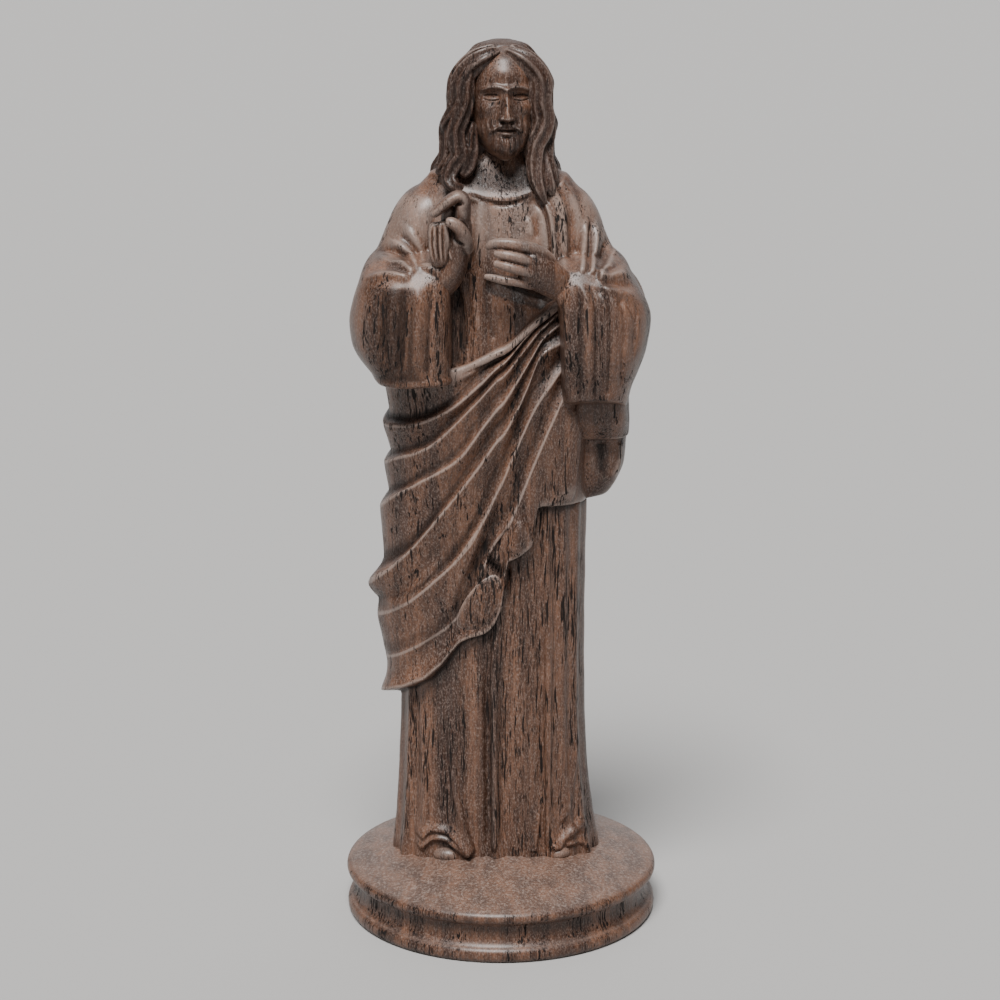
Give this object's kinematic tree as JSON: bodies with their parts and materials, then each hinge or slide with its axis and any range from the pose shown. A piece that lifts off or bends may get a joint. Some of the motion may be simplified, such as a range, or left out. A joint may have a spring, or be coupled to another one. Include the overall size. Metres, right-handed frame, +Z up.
{
  "type": "carved figurine",
  "caption": "Standing robed devotional figure with long hair, draped mantle and a raised blessing hand, carved in dark wood in one piece with a round turned base.",
  "frame": {"origin": "centre of the round base's flat underside", "axes": "+Z up through the figure, -Y the way the figure faces, +X towards the figure's left hand"},
  "size_m": [0.0542, 0.0542, 0.1495],
  "materials": {
    "dark_wood": "dark brown open-pored wood, lightly oiled, satin"
  },
  "bodies": {
    "root": {"carved_figurine": "dark_wood"}
  },
  "joints": []
}
